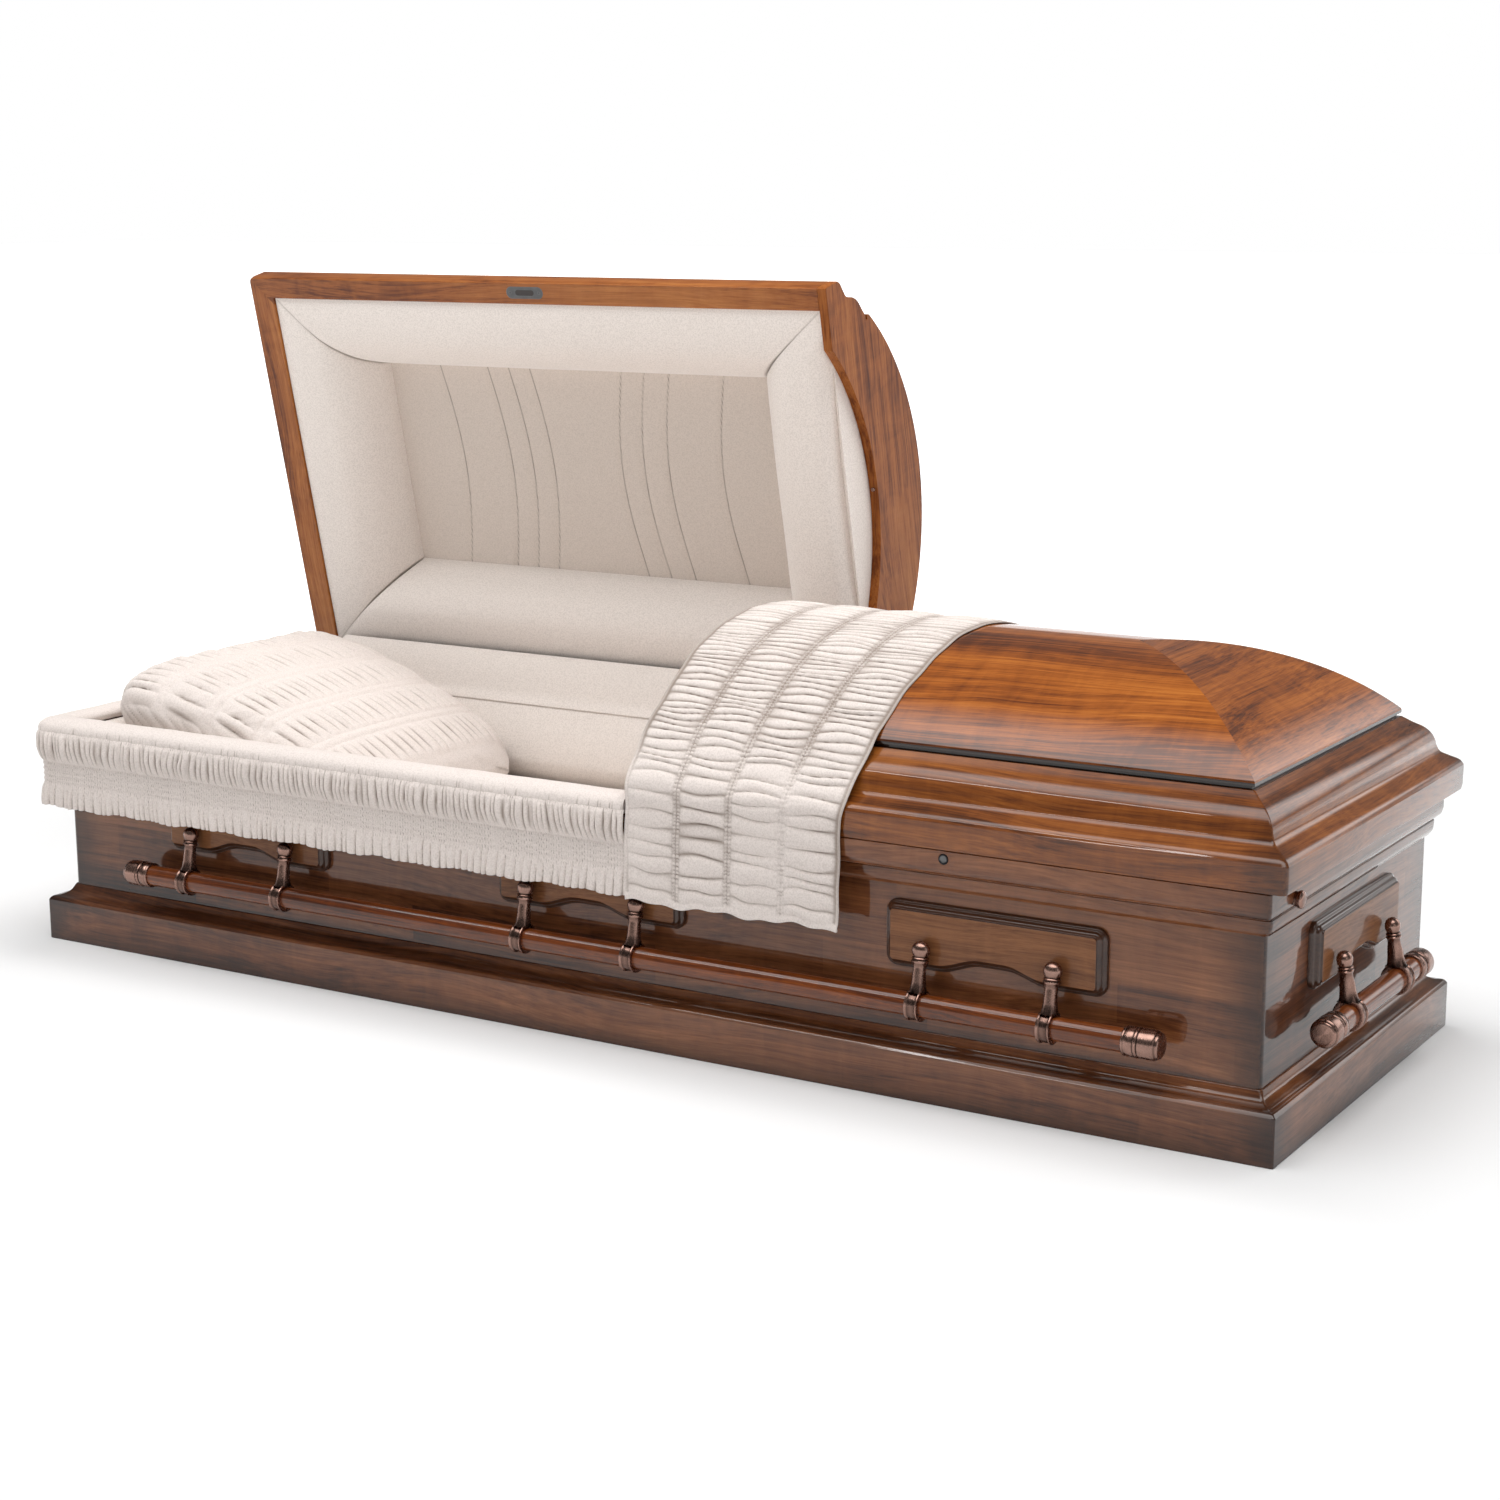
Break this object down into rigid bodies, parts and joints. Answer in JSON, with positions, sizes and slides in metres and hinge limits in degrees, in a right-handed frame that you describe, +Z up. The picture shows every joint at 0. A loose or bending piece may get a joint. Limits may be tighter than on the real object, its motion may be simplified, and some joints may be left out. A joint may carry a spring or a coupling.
{
  "type": "funeral casket",
  "caption": "Lacquered wooden funeral casket with a two-part arched lid, its head lid open over a lined bed, swing bar handles and a shirred throw over the foot lid.",
  "frame": {"origin": "centre of the base's underside, on the ground", "axes": "+X toward the foot end, +Y toward the hinge side, +Z up"},
  "size_m": [2.1578, 0.8964, 1.0544],
  "materials": {
    "lacquered_wood": "high-gloss lacquer",
    "plate_wood": "satin",
    "bar_wood": "gloss lacquer",
    "aged_copper": "antique copper plating",
    "dark_steel": "dark plated",
    "cream_velvet": "velvet",
    "cream_crepe": "shirred crepe"
  },
  "bodies": {
    "casket": {"base_moulding": "lacquered_wood", "bottom_board": "lacquered_wood", "body_sides": "lacquered_wood", "top_moulding": "lacquered_wood", "lock_eyelet": "dark_steel", "end_knob": "aged_copper", "head_hinge_body_leaf": "dark_steel", "foot_hinge_body_leaf": "dark_steel", "body_lining": "cream_velvet", "mattress": "cream_velvet", "pillow": "cream_crepe", "hinge_cover": "cream_velvet", "skirt": "cream_crepe", "skirt_roll": "cream_crepe", "front_plate_1": "plate_wood", "front_plate_2": "plate_wood", "front_plate_3": "plate_wood", "back_plate_1": "plate_wood", "back_plate_2": "plate_wood", "back_plate_3": "plate_wood", "foot_plate": "plate_wood", "head_plate": "plate_wood"},
    "head_lid": {"head_lid_rim": "lacquered_wood", "head_lid_crown": "lacquered_wood", "head_lid_header": "lacquered_wood", "head_latch_plate": "dark_steel", "head_lid_peg": "aged_copper", "head_roll_front": "cream_velvet", "head_roll_back": "cream_velvet", "head_roll_end": "cream_velvet", "head_roll_split": "cream_velvet", "head_lid_panel": "cream_velvet", "head_hinge_lid_leaf": "dark_steel"},
    "foot_lid": {"foot_lid_rim": "lacquered_wood", "foot_lid_crown": "lacquered_wood", "foot_lid_header": "lacquered_wood", "foot_hinge_lid_leaf": "dark_steel", "throw": "cream_crepe"},
    "front_handle": {"front_arm_1": "aged_copper", "front_arm_2": "aged_copper", "front_arm_3": "aged_copper", "front_arm_4": "aged_copper", "front_arm_5": "aged_copper", "front_arm_6": "aged_copper", "front_bar": "bar_wood"},
    "back_handle": {"back_arm_1": "aged_copper", "back_arm_2": "aged_copper", "back_arm_3": "aged_copper", "back_arm_4": "aged_copper", "back_arm_5": "aged_copper", "back_arm_6": "aged_copper", "back_bar": "bar_wood"},
    "foot_handle": {"foot_arm_1": "aged_copper", "foot_arm_2": "aged_copper", "foot_bar": "bar_wood"},
    "head_handle": {"head_arm_1": "aged_copper", "head_arm_2": "aged_copper", "head_bar": "bar_wood"}
  },
  "joints": [
    {"name": "head_lid_hinge", "type": "hinge", "parent": "casket", "child": "head_lid", "pos_m": [0, 0.358, 0.3513], "axis": [-1, 0, 0], "range_deg": [-77.5, 0], "deforming": ["pillow", "skirt_roll", "hinge_cover"]},
    {"name": "foot_lid_hinge", "type": "hinge", "parent": "casket", "child": "foot_lid", "pos_m": [0, 0.358, 0.3513], "axis": [-1, 0, 0], "range_deg": [0, 77.5]},
    {"name": "front_handle_swing", "type": "hinge", "parent": "casket", "child": "front_handle", "pos_m": [0, -0.3445, 0.211], "axis": [-1, 0, 0], "range_deg": [0, 75]},
    {"name": "back_handle_swing", "type": "hinge", "parent": "casket", "child": "back_handle", "pos_m": [0, 0.3445, 0.211], "axis": [1, 0, 0], "range_deg": [0, 75]},
    {"name": "foot_handle_swing", "type": "hinge", "parent": "casket", "child": "foot_handle", "pos_m": [1.048, 0, 0.211], "axis": [0, -1, 0], "range_deg": [0, 75]},
    {"name": "head_handle_swing", "type": "hinge", "parent": "casket", "child": "head_handle", "pos_m": [-1.048, 0, 0.211], "axis": [0, 1, 0], "range_deg": [0, 75]}
  ]
}
